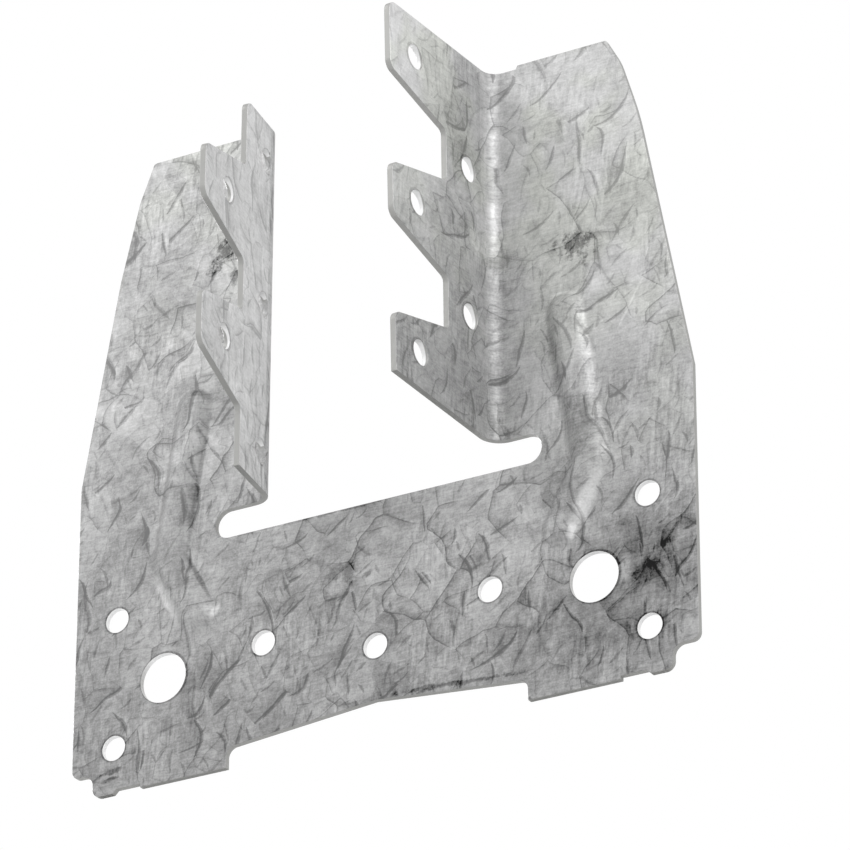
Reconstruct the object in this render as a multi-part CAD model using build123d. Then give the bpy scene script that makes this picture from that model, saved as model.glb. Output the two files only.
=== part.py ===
"""Truss clip: a wall-plate bracket for a trussed rafter, cut and folded from one galvanised sheet.

Millimetres. X runs along the wall plate, Z is up, and the two flanges fold towards -Y.
The origin is on the front face, which is the flange side of the plate, in the middle of the
four outer nail holes. The back face bears on the wall plate.
"""
import os
from math import atan2, cos, degrees, radians, sin, sqrt, tan

from build123d import *

# Sheet and folds, which sprang back unevenly: leans are from square, at the slot and at the top
sheet = 1.0
bend_radius = 2.5
truss_gap = 37.05
fold_shift = 0.4
fold_slant = 0.3
left_leans = (8.0, 8.0)
right_leans = (1.6, 4.2)

# Plate below the truss
plate_bottom = -14.3
plate_corner_radius = 1.3
arch_crown = -12.45
arch_foot = -14.7
arch_half_width = 25.5
arch_corner_radius = 2.2

# Feet, which are the parted edges of neighbouring blanks
foot_bottom = -17.95
foot_outer = 40.6
foot_relief = 0.55
lobe_inner = 44.9
lobe_outer = 49.05
lobe_drop = 0.1
lobe_radius = 1.4
lobe_notch_radius = 2.0

# Outer edge of each leg, from the plate's side to the top corner: distance from the middle, height
left_side = 52.8
left_knee_height = 34.4
left_shoulder = (46.7, 69.2)
left_cheek = (43.4, 83.0)
left_corner = (40.9, 89.4)
right_side = 53.3
right_knee_height = 30.0
right_shoulder = (45.15, 74.4)
right_cheek = (42.2, 84.3)
right_corner = (39.9, 88.6)
shoulder_radius = 60.0
cheek_radius = 12.0
leg_corner_radius = 0.5
land_inner = 24.6
land_step = 0.6

# Relief slot under the flanges
slot_bottom = 20.1
slot_height = 4.75
slot_half_length = 28.15

# Nail holes and bolt holes in the plate
nail_hole = 4.0
bolt_hole = 8.0
outer_nail_x = 45.45
outer_nail_z = 10.6
inner_nail_x = 19.35
inner_nail_z = 1.1
centre_nail_z = -3.65
bolt_x = 36.75
bolt_z = -0.8
bolt_shift = -0.2

# Flange teeth and the nail holes in them
half_pitch = 12.6
tooth_middle = 55.5
tooth_tip = 27.7
tooth_root = 12.5
flank_rise = 3.9
tip_radius = 1.7
root_radius = 1.1
nail_rise = 0.5
near_row = 5.4
tooth_row = 19.9
row_shift = 0.8

# Stiffening beads pressed across the knees of the plate, proud on the flange side, past the slot's ends
bead_width = 6.4
bead_depth = 1.2
bead_wall = 1.6
bead_past_slot = 8.05
bead_top_inward = 3.8
bead_foot_inward = 5.0
bead_knee = (slot_half_length + bead_past_slot, 18.4)
bead_top = (bead_knee[0] - bead_top_inward, 43.9)
bead_foot = (bead_knee[0] - bead_foot_inward, 8.5)
bead_crook_radius = 3.0
bead_inside_radius = 1.3

bead_outside_radius = bead_inside_radius + sheet
slot_top = slot_bottom + slot_height
flange_nail_middle = tooth_middle + nail_rise
flange_top = right_corner[1] - land_step


def rounded_face(corners):
    """A flat face from corners given as (across, up, radius), where a radius of 0 leaves the corner sharp."""
    longest_reach = 0.45
    count = len(corners)
    joins = []
    for index, (across, up, radius) in enumerate(corners):
        corner = Vector(across, up)
        before = Vector(*corners[index - 1][:2]) - corner
        after = Vector(*corners[(index + 1) % count][:2]) - corner
        if radius == 0:
            joins.append((corner, None, corner))
            continue
        half_angle = radians(before.get_angle(after)) / 2
        reach = min(radius / tan(half_angle), longest_reach * before.length, longest_reach * after.length)
        rise = reach / cos(half_angle) - reach * tan(half_angle)
        bisector = (before.normalized() + after.normalized()).normalized()
        start = corner + before.normalized() * reach
        end = corner + after.normalized() * reach
        joins.append((start, corner + bisector * rise, end))
    edges = []
    for index, (start, middle, end) in enumerate(joins):
        edges.append(Line(joins[index - 1][2], start))
        if middle is not None:
            edges.append(ThreePointArc(start, middle, end))
    return make_face(edges)


def through_plate(sketch):
    """The sketch, drawn in X and Z, pushed through the sheet from the front face."""
    return extrude(Plane.XZ * sketch, amount=-sheet)


class Fold:
    """One flange and its fold, on the +X side. Its levels are 0 at the slot and 1 at the top."""

    def __init__(self, shift, leans):
        middle = truss_gap / 2 + shift
        self.heights = (slot_top, flange_top)
        self.inner_faces = (middle + fold_slant / 2, middle - fold_slant / 2)
        self.leans = [radians(lean) for lean in leans]
        mean_lean = sum(self.leans) / 2
        self.plane = Plane(
            origin=(middle + sheet / cos(mean_lean), 0, 0),
            x_dir=(-sin(mean_lean), -cos(mean_lean), 0),
            z_dir=(-cos(mean_lean), sin(mean_lean), 0),
        )

    def edge_x(self, level):
        """Where the bend leaves the plate."""
        lean = self.leans[level]
        return self.inner_faces[level] + sheet / cos(lean) + bend_radius * tan((radians(90) - lean) / 2)

    def section(self, level):
        """The bend and the flange cut across at one level, as a flat face in X and Y."""
        lean = self.leans[level]
        centre = (self.edge_x(level), -bend_radius)
        turn = 90 - degrees(lean)
        inside = CenterArc(centre, bend_radius, 90, turn)
        outside = CenterArc(centre, bend_radius + sheet, 90, turn)
        reach = Vector(-sin(lean), -cos(lean)) * (tooth_tip + sheet)
        inner_end = inside @ 1 + reach
        outer_end = outside @ 1 + reach
        edges = [
            Line(inside @ 0, outside @ 0),
            inside,
            outside,
            Line(inside @ 1, inner_end),
            Line(outside @ 1, outer_end),
            Line(inner_end, outer_end),
        ]
        return Pos(0, 0, self.heights[level]) * make_face(edges)

    def metal(self, starts_on_tooth, nail_spots):
        """The bend with its toothed flange and nail holes, whose depths are from the front face."""
        kinds = ((tooth_tip, tip_radius), (tooth_root, root_radius))
        order = kinds if starts_on_tooth else kinds[::-1]
        behind = -2 * sheet
        corners = [(behind, slot_top, 0), (order[0][0], slot_top, 0)]
        for flank in range(4):
            middle = tooth_middle + (flank - 1.5) * half_pitch
            depth, radius = order[flank % 2]
            corners.append((depth, middle - flank_rise / 2, radius))
            depth, radius = order[(flank + 1) % 2]
            corners.append((depth, middle + flank_rise / 2, radius))
        corners.append((order[0][0], flange_top, tip_radius))
        corners.append((behind, flange_top, 0))
        outline = rounded_face(corners)
        for depth, height in nail_spots:
            outline -= Pos(depth, height) * Circle(nail_hole / 2)
        whole = loft([self.section(0), self.section(1)], ruled=True)
        swing = tooth_tip / 2
        return whole & extrude(self.plane * outline, amount=swing, both=True)


def blank_outline(left_fold, right_fold):
    """The plate with its two legs as one flat outline, without slot, holes or flanges."""

    def half(fold, side, knee_height, shoulder, cheek, corner):
        return [
            (arch_half_width, arch_foot, arch_corner_radius),
            (arch_half_width, foot_bottom, 0),
            (foot_outer, foot_bottom, 0),
            (foot_outer, foot_bottom + foot_relief, 0),
            (lobe_inner - lobe_drop, foot_bottom + foot_relief, 0),
            (lobe_inner + foot_relief, foot_bottom - lobe_drop, 0),
            (lobe_outer, foot_bottom - lobe_drop, lobe_radius),
            (lobe_outer, plate_bottom, lobe_notch_radius),
            (side, plate_bottom, plate_corner_radius),
            (side, knee_height, 0),
            (*shoulder, shoulder_radius),
            (*cheek, cheek_radius),
            (*corner, leg_corner_radius),
            (land_inner, corner[1], 0),
            (land_inner - land_step / 2, flange_top, 0),
            (fold.edge_x(1), flange_top, 0),
            (fold.edge_x(0), slot_top, 0),
            (fold.edge_x(0), slot_bottom, 0),
        ]

    right = half(right_fold, right_side, right_knee_height, right_shoulder, right_cheek, right_corner)
    left = half(left_fold, left_side, left_knee_height, left_shoulder, left_cheek, left_corner)
    mirrored = [(-across, up, radius) for across, up, radius in reversed(left)]
    return rounded_face([(0, arch_crown, 0)] + right + mirrored)


def bead():
    """One stiffening bead on the +X side: the metal that stands proud in front, and the hollow behind."""

    def band(width, depth):
        upper = Vector(*bead_knee) - Vector(*bead_top)
        lower = Vector(*bead_foot) - Vector(*bead_knee)
        spots = ((bead_top, upper), (bead_knee, lower))
        arms = Sketch()
        for (across, up), run in spots:
            middle = Vector(across, up) + run / 2
            turn = degrees(atan2(run.Y, run.X))
            arms += Pos(middle.X, middle.Y) * Rot(0, 0, turn) * SlotCenterToCenter(run.length, width)
        beside_knee = [spot for spot in arms.vertices() if abs(spot.Y - bead_knee[1]) < width / 2]
        arms = fillet(min(beside_knee, key=lambda spot: spot.X), bead_crook_radius)
        return (Plane.XZ.offset(-depth) * arms).face()

    slope = sqrt(bead_depth ** 2 + bead_wall ** 2)
    hollow_width = bead_width - 2 * sheet * (slope - bead_wall) / bead_depth
    proud = loft([band(bead_width, 0), band(bead_width - 2 * bead_wall, -bead_depth)], ruled=True)
    hollow = loft(
        [band(hollow_width, sheet), band(hollow_width - 2 * bead_wall, sheet - bead_depth)], ruled=True
    )
    return proud, hollow


def bead_edges(solid, depth):
    """The edges of both beads that lie flat at this depth behind the front face."""
    close = 1e-4
    spots = (bead_top, bead_knee, bead_foot)
    reach = bead_width / 2 + sheet
    nearest = min(x for x, z in spots) - reach
    farthest = max(x for x, z in spots) + reach
    lowest = min(z for x, z in spots) - reach
    highest = max(z for x, z in spots) + reach
    found = []
    for edge in solid.edges():
        box = edge.bounding_box()
        flat = abs(box.min.Y - depth) < close and abs(box.max.Y - depth) < close
        across = sorted((abs(box.min.X), abs(box.max.X)))
        on_bead = nearest < across[0] and across[1] < farthest
        if flat and on_bead and lowest < box.min.Z and box.max.Z < highest:
            found.append(edge)
    return found


right_fold = Fold(fold_shift, right_leans)
left_fold = Fold(-fold_shift, left_leans)

clip = through_plate(blank_outline(left_fold, right_fold))
slot = Pos(0, slot_bottom + slot_height / 2) * SlotOverall(2 * slot_half_length, slot_height)
clip -= through_plate(slot)

nail_spots = [(x, z) for x in (-outer_nail_x, outer_nail_x) for z in (-outer_nail_z, outer_nail_z)]
nail_spots += [(-inner_nail_x, inner_nail_z), (inner_nail_x, inner_nail_z), (0, centre_nail_z)]
for x, z in nail_spots:
    clip -= through_plate(Pos(x, z) * Circle(nail_hole / 2))
for x in (-bolt_x, bolt_x):
    clip -= through_plate(Pos(x + bolt_shift, bolt_z) * Circle(bolt_hole / 2))

proud, hollow = bead()
clip = clip + proud + mirror(proud, about=Plane.YZ)
clip = clip - hollow - mirror(hollow, about=Plane.YZ)
for depth, radius in (
    (sheet, bead_outside_radius),
    (-bead_depth, bead_outside_radius),
    (sheet - bead_depth, bead_inside_radius),
    (0, bead_inside_radius),
):
    clip = fillet(bead_edges(clip, depth), radius)

high_and_low = [flange_nail_middle + step * half_pitch for step in (-1, 1)]
three_heights = [flange_nail_middle + step * half_pitch for step in (-2, 0, 2)]
right_nails = [(near_row + row_shift, z) for z in high_and_low]
right_nails += [(tooth_row + row_shift, z) for z in three_heights]
left_nails = [(near_row - row_shift, z) for z in three_heights]
left_nails += [(tooth_row - row_shift, z) for z in high_and_low]
clip = clip + right_fold.metal(True, right_nails)
clip = clip + mirror(left_fold.metal(False, left_nails), about=Plane.YZ)

os.makedirs("parts", exist_ok=True)
clip = clip.solid()
clip.label = "truss_clip"
export_step(clip, "parts/truss_clip.step")
print(len(clip.solids()), "solid,", round(clip.volume / 1000, 2), "cm3,", clip.bounding_box())
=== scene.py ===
"""The truss clip, dressed: its spangled zinc, sheared edges, handling marks with painted light and shade,
and the studio around it.
"""
from math import radians

import bpy
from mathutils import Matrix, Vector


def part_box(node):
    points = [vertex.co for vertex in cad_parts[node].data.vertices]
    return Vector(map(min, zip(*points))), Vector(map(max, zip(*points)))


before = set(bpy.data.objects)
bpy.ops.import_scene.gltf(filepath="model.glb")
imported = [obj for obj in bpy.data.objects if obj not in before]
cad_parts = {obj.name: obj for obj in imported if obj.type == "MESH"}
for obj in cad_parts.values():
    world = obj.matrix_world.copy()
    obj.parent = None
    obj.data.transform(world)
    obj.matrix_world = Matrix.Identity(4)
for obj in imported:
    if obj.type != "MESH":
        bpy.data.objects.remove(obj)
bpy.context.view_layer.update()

# The clip is one blank of hot-dip galvanised steel sheet, pierced, beaded and folded in a press tool.
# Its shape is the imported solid's. Here the sheared edges and hole rims get the small rounding that
# the punch leaves, and the flat faces keep their flat shading.
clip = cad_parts["truss_clip"]
punched_rounding = 0.0001
sheared_edge = radians(40)
flat_join = radians(0.6)

weld = clip.modifiers.new("One skin", "WELD")
weld.merge_threshold = 1e-6
faces = clip.modifiers.new("Whole faces", "DECIMATE")
faces.decimate_type = "DISSOLVE"
faces.angle_limit = flat_join
rounding = clip.modifiers.new("Punched rounding", "BEVEL")
rounding.width = punched_rounding
rounding.segments = 3
rounding.limit_method = "ANGLE"
rounding.angle_limit = sheared_edge
rounding.use_clamp_overlap = False
shading = clip.modifiers.new("Flat shading", "WEIGHTED_NORMAL")
shading.keep_sharp = True


def group_tree(name, inputs, outputs):
    """An empty shader node group with its sockets, each given as (name, kind, default)."""
    tree = bpy.data.node_groups.new(name, "ShaderNodeTree")
    for title, kind, default in inputs:
        socket = tree.interface.new_socket(title, in_out="INPUT", socket_type="NodeSocket" + kind)
        if default is not None:
            socket.default_value = default
    for title, kind in outputs:
        tree.interface.new_socket(title, in_out="OUTPUT", socket_type="NodeSocket" + kind)
    return tree, tree.nodes.new("NodeGroupInput"), tree.nodes.new("NodeGroupOutput")


def put(tree, socket, value):
    """Feeds a socket from another socket, or sets it to a plain value."""
    if isinstance(value, bpy.types.NodeSocket):
        tree.links.new(value, socket)
    else:
        socket.default_value = value


def sums(tree, operation, *values, clamp=False):
    """One Math node, and what it puts out."""
    node = tree.nodes.new("ShaderNodeMath")
    node.operation = operation
    node.use_clamp = clamp
    for socket, value in zip(node.inputs, values):
        put(tree, socket, value)
    return node.outputs[0]


def vectors(tree, operation, *values):
    """One Vector Math node, and what it puts out: a number for a length or a dot product."""
    node = tree.nodes.new("ShaderNodeVectorMath")
    node.operation = operation
    sockets = (node.inputs[0], node.inputs["Scale"]) if operation == "SCALE" else node.inputs
    for socket, value in zip(sockets, values):
        put(tree, socket, value)
    return node.outputs["Value" if operation in ("LENGTH", "DISTANCE", "DOT_PRODUCT") else "Vector"]


def ramp(tree, value, low, high, to_low=0.0, to_high=1.0):
    """Runs smoothly from to_low to to_high as the value goes from low to high."""
    node = tree.nodes.new("ShaderNodeMapRange")
    node.interpolation_type = "SMOOTHSTEP"
    given = {"Value": value, "From Min": low, "From Max": high, "To Min": to_low, "To Max": to_high}
    for title, number in given.items():
        put(tree, node.inputs[title], number)
    return node.outputs["Result"]


def mixed(tree, share, first, second, how="MIX"):
    """Two colours mixed."""
    node = tree.nodes.new("ShaderNodeMix")
    node.data_type = "RGBA"
    node.blend_type = how
    put(tree, node.inputs[0], share)
    put(tree, node.inputs[6], first)
    put(tree, node.inputs[7], second)
    return node.outputs[2]


def noise(tree, place, size, detail=2.0, roughness=0.5):
    """Noise whose blobs are about size millimetres across, as a value and as a colour."""
    node = tree.nodes.new("ShaderNodeTexNoise")
    node.noise_dimensions = "2D"
    put(tree, node.inputs["Vector"], place)
    node.inputs["Scale"].default_value = 1 / size
    node.inputs["Detail"].default_value = detail
    node.inputs["Roughness"].default_value = roughness
    return node.outputs["Fac"], node.outputs["Color"]


def stretched(tree, place, turn, scale):
    """The place turned on the sheet by so many degrees, and then squeezed along the turned axes."""
    node = tree.nodes.new("ShaderNodeMapping")
    node.vector_type = "TEXTURE"
    put(tree, node.inputs["Vector"], place)
    node.inputs["Rotation"].default_value = (0, 0, radians(turn))
    node.inputs["Scale"].default_value = scale
    return node.outputs[0]


# The flat blank: where a point lay, in millimetres, before the flanges were folded. Their metal came
# out of the truss opening, so a flange carries on towards the middle. Flange is 1 on the right flange
# and -1 on the left, and Edge is the cut metal of the outline and the holes.
fold_start = -1.2
flange_start = -2.6

# What lies deeper than the beads is unrolled, and the back gets a place of its own, far to the left.
past_beads = 1.25
back_shift = -300.0
blank, blank_in, blank_out = group_tree(
    "Flat blank", [], [("Place", "Vector"), ("Edge", "Float"), ("Flange", "Float")]
)
where = blank.nodes.new("ShaderNodeTexCoord")
facing = blank.nodes.new("ShaderNodeNewGeometry")
position = blank.nodes.new("ShaderNodeSeparateXYZ")
put(blank, position.inputs[0], vectors(blank, "SCALE", where.outputs["Object"], 1000.0))
turned = blank.nodes.new("ShaderNodeSeparateXYZ")
put(blank, turned.inputs[0], facing.outputs["True Normal"])
across, depth, height = position.outputs
face_x, face_y, face_z = turned.outputs
hand = sums(blank, "SIGN", across)
folded = sums(blank, "MINIMUM", sums(blank, "ADD", depth, past_beads), 0.0)
flat_x = sums(blank, "ADD", across, sums(blank, "MULTIPLY", hand, folded))
outwards = sums(blank, "MULTIPLY", hand, face_x)
plate_back = sums(blank, "GREATER_THAN", face_y, 0.5)
plate_back = sums(blank, "MULTIPLY", plate_back, sums(blank, "GREATER_THAN", depth, flange_start))
flange_back = sums(blank, "LESS_THAN", outwards, -0.5)
flange_back = sums(blank, "MULTIPLY", flange_back, sums(blank, "LESS_THAN", depth, fold_start))
behind = sums(blank, "MAXIMUM", plate_back, flange_back)
place = blank.nodes.new("ShaderNodeCombineXYZ")
put(blank, place.inputs[0], sums(blank, "ADD", flat_x, sums(blank, "MULTIPLY", behind, back_shift)))
put(blank, place.inputs[1], height)
on_flange = ramp(blank, depth, flange_start, flange_start - 0.6)
on_plate = ramp(blank, depth, -0.4, -0.1)
flange_edge = sums(blank, "MULTIPLY", on_flange, ramp(blank, sums(blank, "ABSOLUTE", face_x), 0.75, 0.45))
plate_edge = sums(blank, "MULTIPLY", on_plate, ramp(blank, sums(blank, "ABSOLUTE", face_y), 0.75, 0.45))
level_edge = ramp(blank, sums(blank, "ABSOLUTE", face_z), 0.6, 0.8)
edge = sums(blank, "MAXIMUM", sums(blank, "MAXIMUM", flange_edge, plate_edge), level_edge)
put(blank, blank_out.inputs["Place"], place.outputs[0])
put(blank, blank_out.inputs["Edge"], edge)
put(blank, blank_out.inputs["Flange"], sums(blank, "MULTIPLY", on_flange, hand))

# Spangle: the zinc freezes into grains. Each has its own tone, a dark border along one of its sides
# that fades inwards, and across most of them runs a short dark stroke, a little curved and tapered at
# both ends, with a soft shade on one side of it and a little light on the other.
spangle, spangle_in, spangle_out = group_tree(
    "Spangle",
    [
        ("Place", "Vector", None),
        ("Grain", "Float", 6.0),
        ("Stroke width", "Float", 0.4),
        ("Seed", "Float", 0.0),
    ],
    [("Tone", "Float"), ("Border", "Float"), ("Stroke", "Float"), ("Shade", "Float"), ("Glint", "Float")],
)
seeded = spangle.nodes.new("ShaderNodeCombineXYZ")
put(spangle, seeded.inputs[0], spangle_in.outputs["Seed"])
start = vectors(spangle, "ADD", spangle_in.outputs["Place"], seeded.outputs[0])
grain = spangle_in.outputs["Grain"]
stroke_width = spangle_in.outputs["Stroke width"]
per_grain = sums(spangle, "DIVIDE", 1.0, grain)
cell = spangle.nodes.new("ShaderNodeTexVoronoi")
cell.voronoi_dimensions = "2D"
put(spangle, cell.inputs["Vector"], start)
put(spangle, cell.inputs["Scale"], per_grain)
draws = spangle.nodes.new("ShaderNodeSeparateColor")
put(spangle, draws.inputs[0], cell.outputs["Color"])
lean, bend, strength = draws.outputs
bearing = ramp(spangle, lean, 0.0, 1.0, radians(25), radians(115))
along_it = spangle.nodes.new("ShaderNodeCombineXYZ")
put(spangle, along_it.inputs[0], sums(spangle, "COSINE", bearing))
put(spangle, along_it.inputs[1], sums(spangle, "SINE", bearing))
across_it = spangle.nodes.new("ShaderNodeCombineXYZ")
put(spangle, across_it.inputs[0], sums(spangle, "MULTIPLY", sums(spangle, "SINE", bearing), -1.0))
put(spangle, across_it.inputs[1], sums(spangle, "COSINE", bearing))
from_middle = vectors(spangle, "SUBTRACT", start, cell.outputs["Position"])
from_middle = vectors(spangle, "SCALE", from_middle, per_grain)
run = vectors(spangle, "DOT_PRODUCT", from_middle, along_it.outputs[0])
off = vectors(spangle, "DOT_PRODUCT", from_middle, across_it.outputs[0])
border = spangle.nodes.new("ShaderNodeTexVoronoi")
border.voronoi_dimensions = "2D"
border.feature = "DISTANCE_TO_EDGE"
put(spangle, border.inputs["Vector"], start)
put(spangle, border.inputs["Scale"], per_grain)
inside = sums(spangle, "MULTIPLY", border.outputs["Distance"], grain)
line = ramp(spangle, inside, 0.05, stroke_width, 1.0, 0.0)
fading = ramp(spangle, inside, 0.0, sums(spangle, "MULTIPLY", grain, 0.2), 0.45, 0.0)
on_one_side = ramp(spangle, off, 0.02, 0.3)
dark_border = sums(spangle, "MULTIPLY", sums(spangle, "MAXIMUM", line, fading), on_one_side)
drawn = ramp(spangle, strength, 0.25, 0.9, 0.05, 1.0)
put(spangle, spangle_out.inputs["Border"], sums(spangle, "MULTIPLY", dark_border, drawn))
bow = ramp(spangle, bend, 0.0, 1.0, -0.5, 0.5)
off = sums(spangle, "SUBTRACT", off, sums(spangle, "MULTIPLY", bow, sums(spangle, "MULTIPLY", run, run)))
length = ramp(spangle, strength, 0.0, 1.0, 0.6, 0.25)
reach = sums(spangle, "DIVIDE", run, length)
taper = sums(spangle, "SUBTRACT", 1.0, sums(spangle, "MULTIPLY", reach, reach), clamp=True)
off_mm = sums(spangle, "MULTIPLY", off, grain)
width = sums(spangle, "MULTIPLY", stroke_width, taper)
share = sums(spangle, "DIVIDE", sums(spangle, "ABSOLUTE", off_mm), sums(spangle, "ADD", width, 0.01))
shown = ramp(spangle, bend, 0.1, 0.75, 0.2, 1.0)
stroke = sums(spangle, "MULTIPLY", ramp(spangle, share, 0.3, 1.0, 1.0, 0.0), shown)
put(spangle, spangle_out.inputs["Tone"], sums(spangle, "SUBTRACT", strength, 0.5))
put(spangle, spangle_out.inputs["Stroke"], stroke)
for title, side, fade in (("Shade", "GREATER_THAN", 0.38), ("Glint", "LESS_THAN", -0.2)):
    strip = sums(spangle, "MULTIPLY", ramp(spangle, off, 0.0, fade, 1.0, 0.0), sums(spangle, side, off, 0.0))
    strip = sums(spangle, "MULTIPLY", sums(spangle, "MULTIPLY", strip, taper), shown)
    put(spangle, spangle_out.inputs[title], strip)

# A patch, used for dirt and wear and for painted light and shade: an oval of given half lengths,
# turned on the sheet, with a soft and frayed border.
blot, blot_in, blot_out = group_tree(
    "Blot",
    [
        ("Place", "Vector", None),
        ("Middle", "Vector", (0, 0, 0)),
        ("Long", "Float", 3.0),
        ("Short", "Float", 1.0),
        ("Turn", "Float", 0.0),
        ("Fray", "Float", 0.0),
    ],
    [("Mask", "Float")],
)
offset = blot.nodes.new("ShaderNodeSeparateXYZ")
put(blot, offset.inputs[0], vectors(blot, "SUBTRACT", blot_in.outputs["Place"], blot_in.outputs["Middle"]))
turn = sums(blot, "RADIANS", blot_in.outputs["Turn"])
cosine = sums(blot, "COSINE", turn)
sine = sums(blot, "SINE", turn)
along = sums(blot, "MULTIPLY", offset.outputs[0], cosine)
along = sums(blot, "ADD", along, sums(blot, "MULTIPLY", offset.outputs[1], sine))
aside = sums(blot, "MULTIPLY", offset.outputs[1], cosine)
aside = sums(blot, "SUBTRACT", aside, sums(blot, "MULTIPLY", offset.outputs[0], sine))
oval = blot.nodes.new("ShaderNodeCombineXYZ")
put(blot, oval.inputs[0], sums(blot, "DIVIDE", along, blot_in.outputs["Long"]))
put(blot, oval.inputs[1], sums(blot, "DIVIDE", aside, blot_in.outputs["Short"]))
distance = sums(blot, "ADD", vectors(blot, "LENGTH", oval.outputs[0]), blot_in.outputs["Fray"])
put(blot, blot_out.inputs["Mask"], ramp(blot, distance, 0.35, 1.05, 1.0, 0.0))

# The zinc itself, dull from the mill and from handling. Its grains come in three sizes, the smallest
# in places only. Over them lie clouds and fine grit, the level lines of the rolls, and in patches an
# upright hatch.
zinc = bpy.data.materials.new("Galvanised sheet")
zinc.use_nodes = True
skin = zinc.node_tree
shader = skin.nodes["Principled BSDF"]
shader.inputs["Metallic"].default_value = 0.6
flat = skin.nodes.new("ShaderNodeGroup")
flat.node_tree = blank
on_sheet = flat.outputs["Place"]


def weighed(parts):
    """The sum of sockets, each with its weight."""
    total = None
    for socket, weight in parts:
        part = sums(skin, "MULTIPLY", socket, weight)
        total = part if total is None else sums(skin, "ADD", total, part)
    return total


def centred(place, size, detail=2.0, roughness=0.5):
    """Noise that runs to either side of 0."""
    return sums(skin, "SUBTRACT", noise(skin, place, size, detail, roughness)[0], 0.5)


# The grains' borders wander a little: a broad bend, and a fine tremble on top of it.
wandered = on_sheet
for size, detail, reach in ((9.0, 1.0, 3.6), (1.6, 3.0, 0.3)):
    push = vectors(skin, "SUBTRACT", noise(skin, on_sheet, size, detail)[1], (0.5, 0.5, 0.5))
    wandered = vectors(skin, "ADD", wandered, vectors(skin, "SCALE", push, reach))


def grains(size, stroke_width, seed):
    """One layer of spangle."""
    layer = skin.nodes.new("ShaderNodeGroup")
    layer.node_tree = spangle
    put(skin, layer.inputs["Place"], wandered)
    layer.inputs["Grain"].default_value = size
    layer.inputs["Stroke width"].default_value = stroke_width
    layer.inputs["Seed"].default_value = seed
    return layer.outputs


broad = grains(9.5, 0.5, 0.0)
middling = grains(6.0, 0.42, 1100.0)
small = grains(3.2, 0.3, 2300.0)
patches = noise(skin, on_sheet, 13.0, 2.0)
some_small = ramp(skin, patches[0], 0.36, 0.5)
tints = skin.nodes.new("ShaderNodeSeparateColor")
put(skin, tints.inputs[0], patches[1])
green_patches, hatch_patches, tone_patches = tints.outputs
cloud = centred(on_sheet, 2.6, 5.0, 0.7)
rolls = centred(stretched(skin, on_sheet, 0, (8.0, 1.0, 1.0)), 0.35, 3.0, 0.65)
hatch = centred(stretched(skin, on_sheet, 85, (7.0, 1.0, 1.0)), 0.6, 2.0, 0.6)
hatched = ramp(skin, hatch_patches, 0.46, 0.66, 0.06, 0.26)
tone = weighed([
    (broad["Tone"], 0.06),
    (broad["Border"], -0.20),
    (broad["Stroke"], -0.16),
    (broad["Shade"], -0.07),
    (broad["Glint"], 0.04),
    (middling["Tone"], 0.05),
    (middling["Border"], -0.16),
    (middling["Stroke"], -0.15),
    (middling["Shade"], -0.06),
    (middling["Glint"], 0.03),
    (sums(skin, "SUBTRACT", tone_patches, 0.5), 0.12),
    (cloud, 0.20),
    (rolls, 0.17),
    (sums(skin, "MULTIPLY", hatch, hatched), 1.0),
    (centred(on_sheet, 0.3, 2.0), 0.16),
    (centred(on_sheet, 0.9, 3.0), 0.14),
])
in_places = weighed([(small["Tone"], 0.06), (small["Border"], -0.09), (small["Stroke"], -0.11)])
tone = sums(skin, "ADD", tone, sums(skin, "MULTIPLY", in_places, some_small))
darkest = -0.22
softness = 0.10
middle_grey = 0.337
tone = sums(skin, "SMOOTH_MAX", tone, darkest, softness)
level = sums(skin, "ADD", middle_grey, tone)

# Dirt, wear and painted light: greasy marks by the right bolt hole and on both legs, scuffs at the left
# foot, a speck in the middle, broad darker patches, painted shade on and beside the beads, and dirt caught
# along the slot and the arch. The zinc is rubbed bright beside the bolt hole and paler in places on the
# right leg and bead, the beads' walls get painted highlights and their feet painted glints, and it is
# scratched beside them.


def changed(value, mask, change):
    """The value, with the change added where the mask is 1."""
    return sums(skin, "ADD", value, sums(skin, "MULTIPLY", mask, change))


def blotted(middle, long, short, turn, fray):
    """The mask of one patch on the front of the sheet."""
    patch = skin.nodes.new("ShaderNodeGroup")
    patch.node_tree = blot
    put(skin, patch.inputs["Place"], on_sheet)
    patch.inputs["Middle"].default_value = (*middle, 0)
    patch.inputs["Long"].default_value = long
    patch.inputs["Short"].default_value = short
    patch.inputs["Turn"].default_value = turn
    put(skin, patch.inputs["Fray"], sums(skin, "MULTIPLY", cloud, fray))
    return patch.outputs[0]


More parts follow.
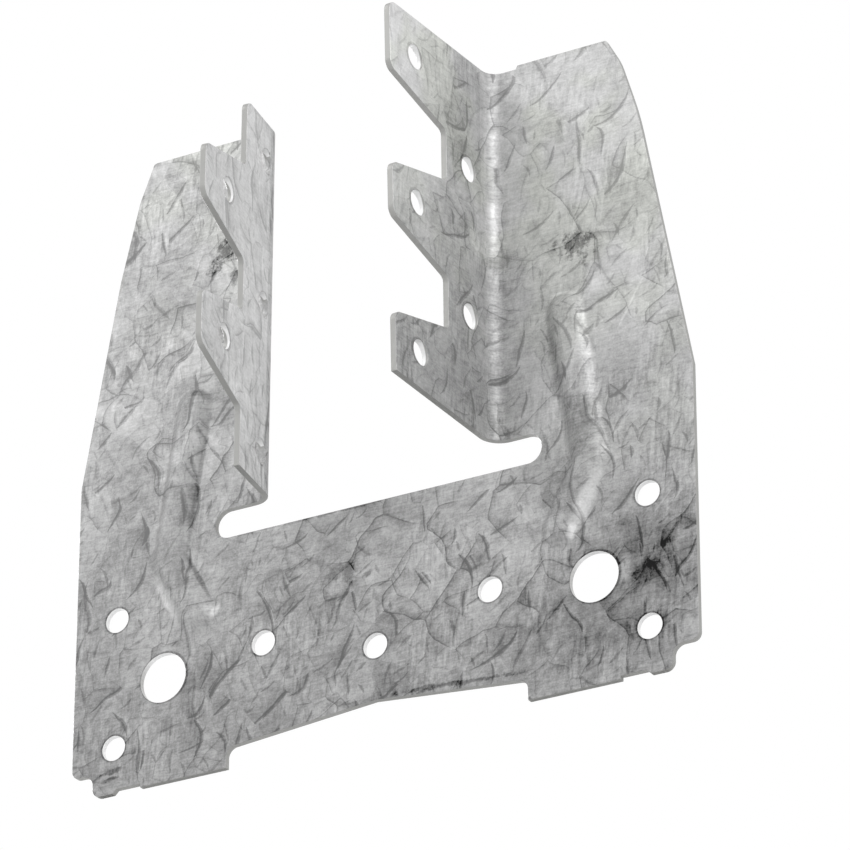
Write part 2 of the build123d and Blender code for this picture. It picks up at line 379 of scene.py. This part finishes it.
# Each patch: its middle, half its length and width, its turn in degrees, its fray, its change of grey.
smudges_and_painted_shade = (
    ((45.0, -2.0), 3.8, 2.3, 30, 1.2, -0.13),
    ((47.6, 0.6), 3.6, 2.2, 45, 1.2, -0.08),
    ((49.5, 5.0), 6.0, 2.5, 60, 1.5, -0.05),
    ((34.4, 54.4), 3.4, 2.2, -25, 3.5, -0.26),
    ((-27.4, 69.8), 3.8, 1.9, 65, 3.5, -0.26),
    ((-25.6, 64.5), 2.4, 1.1, 80, 3.0, -0.20),
    ((-1.5, 8.4), 1.0, 0.8, 0, 2.0, -0.22),
    ((-5.5, 9.4), 3.4, 1.8, -10, 3.0, -0.12),
    # Broad darker patches over the lower right and the upper left leg.
    ((42.0, -3.0), 22.0, 14.0, 20, 0.6, -0.10),
    ((-40.0, 74.0), 22.0, 14.0, 90, 0.6, -0.05),
    ((-45.6, -14.4), 3.0, 0.5, 8, 2.5, -0.16),
    ((-45.9, -15.6), 2.4, 0.35, 8, 2.5, -0.16),
    # Painted shade beside the right bead's lower arm and on its left wall; the third is a darker grain
    # across the bead.
    ((30.2, 15.5), 5.5, 2.0, 63, 2.0, -0.07),
    ((30.3, 36.0), 9.0, 0.9, 98, 0.5, -0.07),
    ((34.8, 25.0), 7.0, 3.0, 100, 0.8, -0.06),
    # Painted shade along the left bead's right wall and at its top end.
    ((-30.8, 14.4), 5.6, 0.5, 118, 0.3, -0.16),
    ((-31.2, 31.2), 14.0, 0.45, 81, 0.3, -0.12),
    ((-31.0, 45.6), 2.4, 0.8, 160, 1.0, -0.12),
    # A broad darker band across the middle of the plate, and a darker middle of the right flange.
    ((0.0, 8.0), 20.0, 10.0, 0, 0.6, -0.03),
    ((9.0, 52.0), 14.0, 10.0, 90, 0.6, -0.05),
    ((-8.0, 20.0), 14.0, 0.4, 0, 2.5, -0.14),
    ((14.0, -12.7), 12.0, 0.5, -3, 2.5, -0.16),
)
rubs_and_painted_highlights = (
    ((41.6, -0.8), 1.3, 3.0, 0, 1.5, 0.14),
    ((38.6, 47.2), 3.6, 2.6, 30, 2.0, 0.10),
    ((33.4, 38.5), 6.0, 2.4, 98, 0.6, 0.07),
    ((32.4, 46.8), 3.2, 0.5, -8, 0.5, 0.12),
    # Painted highlights on the beads' walls and painted glints at their feet.
    ((35.4, 11.0), 6.6, 1.5, 63, 0.9, 0.16),
    ((33.2, 7.0), 1.6, 0.7, 63, 0.8, 0.22),
    ((-36.5, 12.2), 6.2, 1.3, 117, 0.7, 0.15),
    ((-27.9, 8.3), 1.5, 0.7, 60, 0.8, 0.20),
    ((47.0, 9.5), 4.5, 0.25, 45, 0.5, 0.08),
    ((47.8, 8.6), 4.0, 0.2, 47, 0.5, 0.06),
    ((43.0, 42.0), 7.0, 0.25, 60, 0.6, 0.07),
)
for middle, long, short, turn, fray, change in smudges_and_painted_shade + rubs_and_painted_highlights:
    level = changed(level, blotted(middle, long, short, turn, fray), change)

# A thin dark ring is painted round each punched hole: painted shade of the rolled-in rim. The flanges' holes
# are given where they lie on the flat blank, and the left ones are seen from its back too.
nail_radius = 2.0
bolt_radius = 4.0
bolt_hole = (36.75, -0.8)
nail_holes = ((45.45, 10.6), (45.45, -10.6), (19.35, 1.1), (0.0, -3.65))
right_holes = ((14.31, 43.4), (14.09, 68.6), (-0.54, 30.8), (-1.01, 56.0), (-1.48, 81.2))
left_holes = ((1.56, 43.4), (1.66, 68.6), (-14.87, 30.8), (-14.77, 56.0), (-14.66, 81.2))
ring_inside = 0.15
ring_outside = 0.42
rim_painted_shade = -0.14
columns = skin.nodes.new("ShaderNodeSeparateXYZ")
put(skin, columns.inputs[0], on_sheet)
sheet_x = columns.outputs[0]
sheet_z = columns.outputs[1]
both_sides = skin.nodes.new("ShaderNodeCombineXYZ")
put(skin, both_sides.inputs[0], sums(skin, "ABSOLUTE", sheet_x))
put(skin, both_sides.inputs[1], sheet_z)
nearest = vectors(skin, "DISTANCE", both_sides.outputs[0], (*bolt_hole, 0))
nearest = sums(skin, "SUBTRACT", nearest, bolt_radius)
for hole in nail_holes:
    away = vectors(skin, "DISTANCE", both_sides.outputs[0], (*hole, 0))
    nearest = sums(skin, "MINIMUM", nearest, sums(skin, "SUBTRACT", away, nail_radius))

# A flange's hole counts on that flange only: on the plate it is put this much farther off, and on the
# other flange twice as much.
kept_away = 9.0
for holes, flange, shift in ((right_holes, 1, 0), (left_holes, -1, 0), (left_holes, -1, back_shift)):
    elsewhere = sums(skin, "ABSOLUTE", sums(skin, "SUBTRACT", flat.outputs["Flange"], flange))
    for x, z in holes:
        away = vectors(skin, "DISTANCE", on_sheet, (x + shift, z, 0))
        away = changed(sums(skin, "SUBTRACT", away, nail_radius), elsewhere, kept_away)
        nearest = sums(skin, "MINIMUM", nearest, away)
# The painted shade of the rims.
level = changed(level, ramp(skin, nearest, ring_inside, ring_outside, 1.0, 0.0), rim_painted_shade)

# The zinc is paler towards the top of the clip: painted light, as if lit from above, and more of it at the
# top right, where a trace of green lies in patches. The right flange has painted light at its upper teeth
# and painted shade towards the fold and along it, and the left flange has painted light all over.
painted_light_from_above = 0.12
top_right_painted_light = 0.05
left_flange_painted_light = 0.12
fold_painted_shade = -0.07
right_fold = 21.2
legs_foot = (23.0, 26.0)
# Painted light from above.
paler = ramp(skin, sheet_z, -18.0, 75.0)
level = changed(level, paler, painted_light_from_above)
# More painted light at the top right; the green tint below lies within it.
top_right_light_mask = ramp(skin, sums(skin, "ADD", sheet_z, sums(skin, "MULTIPLY", sheet_x, 0.5)), 20.0, 95.0)
level = changed(level, top_right_light_mask, top_right_painted_light)
# Painted light on the right flange's upper teeth, turning to painted shade towards the fold.
flange_painted_light_and_shade = ramp(skin, sheet_x, 13.0, -5.0, -0.07, 0.14)
in_front = sums(skin, "GREATER_THAN", sheet_x, back_shift / 2)
right_side = sums(skin, "MULTIPLY", sums(skin, "MAXIMUM", flat.outputs["Flange"], 0.0), in_front)
high = ramp(skin, sheet_z, 45.0, 75.0)
level = changed(level, sums(skin, "MULTIPLY", flange_painted_light_and_shade, right_side), high)
# Painted light over the left flange.
left_side = sums(skin, "MAXIMUM", sums(skin, "MULTIPLY", flat.outputs["Flange"], -1.0), 0.0)
level = changed(level, left_side, left_flange_painted_light)
# Painted shade along the right fold, above the leg's foot.
fold = sums(skin, "ABSOLUTE", sums(skin, "SUBTRACT", sheet_x, right_fold))
fold = ramp(skin, changed(fold, cloud, 3.0), 0.3, 2.2, 1.0, 0.0)
fold = sums(skin, "MULTIPLY", fold, ramp(skin, sheet_z, *legs_foot))
level = changed(level, fold, fold_painted_shade)
grey = skin.nodes.new("ShaderNodeCombineColor")
for socket in grey.inputs:
    put(skin, socket, level)
green = sums(skin, "MULTIPLY", top_right_light_mask, ramp(skin, green_patches, 0.42, 0.6))
tinted = mixed(skin, green, grey.outputs[0], (0.985, 1.0, 0.95, 1), "MULTIPLY")

# The cut metal: the outline's sheared edge has greyed, and the punched walls of the holes are bright.
in_hole = ramp(skin, nearest, 0.25, 0.1)
sheared = (0.36, 0.36, 0.35, 1)
punched = (0.8, 0.8, 0.8, 1)
cut_metal = mixed(skin, in_hole, sheared, punched)
put(skin, shader.inputs["Base Color"], mixed(skin, flat.outputs["Edge"], tinted, cut_metal))
put(skin, shader.inputs["Roughness"], ramp(skin, level, 0.25, 0.55, 0.62, 0.46))
clip.data.materials.clear()
clip.data.materials.append(zinc)

# The floor, pale and far wider than the clip, which stands on it. It is seen from above only, and in
# the metal it shows as white as the rest of the studio.
floor_width = 6.0
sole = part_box("truss_clip")[0].z
bpy.ops.mesh.primitive_plane_add(size=floor_width, location=(0, 0, sole))
floor = bpy.context.object
floor.name = "floor"
paint = bpy.data.materials.new("Pale floor")
paint.use_nodes = True
nodes = paint.node_tree.nodes
links = paint.node_tree.links
matt = nodes["Principled BSDF"]
matt.inputs["Base Color"].default_value = (0.9, 0.9, 0.9, 1)
matt.inputs["Roughness"].default_value = 0.9
white = nodes.new("ShaderNodeEmission")
white.inputs["Strength"].default_value = 1.0
clear = nodes.new("ShaderNodeBsdfTransparent")
ray = nodes.new("ShaderNodeLightPath")
under = nodes.new("ShaderNodeNewGeometry")
mirrored = nodes.new("ShaderNodeMixShader")
choice = nodes.new("ShaderNodeMixShader")
links.new(ray.outputs["Is Glossy Ray"], mirrored.inputs[0])
links.new(matt.outputs[0], mirrored.inputs[1])
links.new(white.outputs[0], mirrored.inputs[2])
links.new(under.outputs["Backfacing"], choice.inputs[0])
links.new(mirrored.outputs[0], choice.inputs[1])
links.new(clear.outputs[0], choice.inputs[2])
links.new(choice.outputs[0], nodes["Material Output"].inputs["Surface"])
floor.data.materials.append(paint)

# The studio: a white surround, a lamp in front on the right, near the clip, a weaker one on the left,
# and one behind that rakes over the back of the plate, so that the beads' hollows show.
scene = bpy.context.scene
scene.view_settings.view_transform = "Standard"
world = bpy.data.worlds.new("White surround")
scene.world = world
world.use_nodes = True
sky = world.node_tree
backdrop = sky.nodes["Background"]
ambient = sky.nodes.new("ShaderNodeBackground")
ambient.inputs["Color"].default_value = (1, 1, 1, 1)
ambient.inputs["Strength"].default_value = 0.8
backdrop.inputs["Color"].default_value = (1, 1, 1, 1)
backdrop.inputs["Strength"].default_value = 1.0
path = sky.nodes.new("ShaderNodeLightPath")
seen = sums(sky, "MAXIMUM", path.outputs["Is Camera Ray"], path.outputs["Is Glossy Ray"])
seen = sums(sky, "MAXIMUM", seen, path.outputs["Is Transmission Ray"])
pick = sky.nodes.new("ShaderNodeMixShader")
sky.links.new(seen, pick.inputs[0])
sky.links.new(ambient.outputs[0], pick.inputs[1])
sky.links.new(backdrop.outputs[0], pick.inputs[2])
sky.links.new(pick.outputs[0], sky.nodes["World Output"].inputs["Surface"])

# Each lamp is a disk that shines on the origin: its name, power in watts, width and place in metres.
for name, power, width, place in (
    ("key", 1.0, 0.34, (0.36, -0.30, 0.28)),
    ("fill", 0.5, 0.30, (-0.28, -0.25, 0.40)),
    ("back", 3.0, 0.14, (-0.50, 0.20, 0.16)),
):
    lamp = bpy.data.objects.new(name, bpy.data.lights.new(name, "AREA"))
    scene.collection.objects.link(lamp)
    lamp.data.shape = "DISK"
    lamp.data.size = width
    lamp.data.energy = power
    lamp.location = place
    lamp.rotation_euler = lamp.location.to_track_quat("Z", "Y").to_euler()

# The camera, where the one that took the photo stood: to the right of the clip and below it. It was
# fitted to the rims of the round holes in the plate.
camera = bpy.data.objects.new("camera", bpy.data.cameras.new("camera"))
scene.collection.objects.link(camera)
camera.data.lens = 226.7
camera.data.sensor_width = 36.0
camera.data.clip_start = 0.01
camera.data.clip_end = 50.0
camera.location = (0.35967, -0.62466, -0.33060)
camera.rotation_euler = (radians(116.759), radians(-0.041), radians(29.328))
scene.camera = camera
